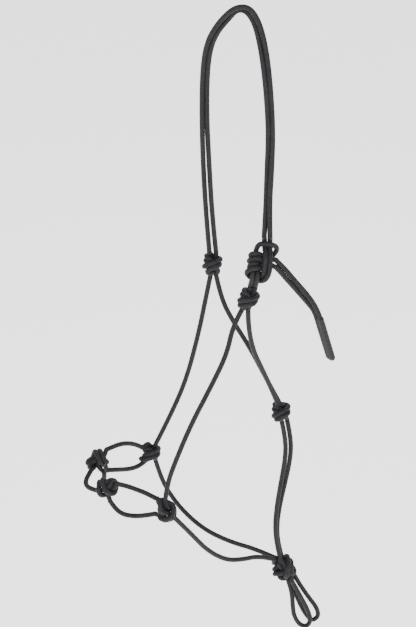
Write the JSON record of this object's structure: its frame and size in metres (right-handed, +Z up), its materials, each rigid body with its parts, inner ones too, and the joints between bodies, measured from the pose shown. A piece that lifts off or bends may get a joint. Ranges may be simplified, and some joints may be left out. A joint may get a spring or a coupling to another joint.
{
  "type": "rope halter",
  "caption": "Knotted rope halter hanging by its crown, with a tied crown, noseband, jaw loop and lead loops.",
  "frame": {"origin": "seat under the crown, where a hook carries the halter", "axes": "+Z up, nose towards -X, the near (tie) side towards -Y"},
  "size_m": [0.3399, 0.1934, 0.9547],
  "materials": {
    "rope": "satin",
    "sleeve": "satin"
  },
  "bodies": {
    "headstall": {"crown_rope_outer": "rope", "crown_rope_inner": "rope", "far_cheek_rope": "rope", "near_cheek_rope": "rope", "far_throat_rope": "rope", "near_throat_rope": "rope", "throat_drop_front": "rope", "throat_drop_rear": "rope", "far_jaw_rope": "rope", "near_jaw_rope": "rope", "far_cheek_knot": "rope", "near_cheek_knot": "rope", "throat_knot": "rope", "far_side_knot": "rope", "near_side_knot": "rope", "lead_knot": "rope", "tie_knot": "rope"},
    "noseband": {"near_nose_upper": "rope", "near_nose_lower": "rope", "far_nose_upper": "rope", "far_nose_lower": "rope", "nose_bridge_front": "rope", "nose_bridge_rear": "rope", "far_nose_knot": "rope", "near_nose_knot": "rope"},
    "tail": {"tail_upper": "rope", "tail_lower": "rope", "tail_sleeve": "sleeve"},
    "lead_loop_a": {"lead_loop_front": "rope"},
    "lead_loop_b": {"lead_loop_rear": "rope"}
  },
  "joints": [
    {"name": "noseband_swing", "type": "hinge", "parent": "headstall", "child": "noseband", "pos_m": [-0.11, 0, -0.672], "axis": [0, 1, 0], "range_deg": [-40, 30]},
    {"name": "tail_swing", "type": "hinge", "parent": "headstall", "child": "tail", "pos_m": [0.02, -0.064, -0.314], "axis": [0, 1, 0], "range_deg": [-15, 30]},
    {"name": "front_loop_swing", "type": "hinge", "parent": "headstall", "child": "lead_loop_a", "pos_m": [0.069, 0, -0.835], "axis": [0, 1, 0], "range_deg": [-60, 60]},
    {"name": "rear_loop_swing", "type": "hinge", "parent": "headstall", "child": "lead_loop_b", "pos_m": [0.069, 0, -0.835], "axis": [0, 1, 0], "range_deg": [-50, 70]}
  ]
}
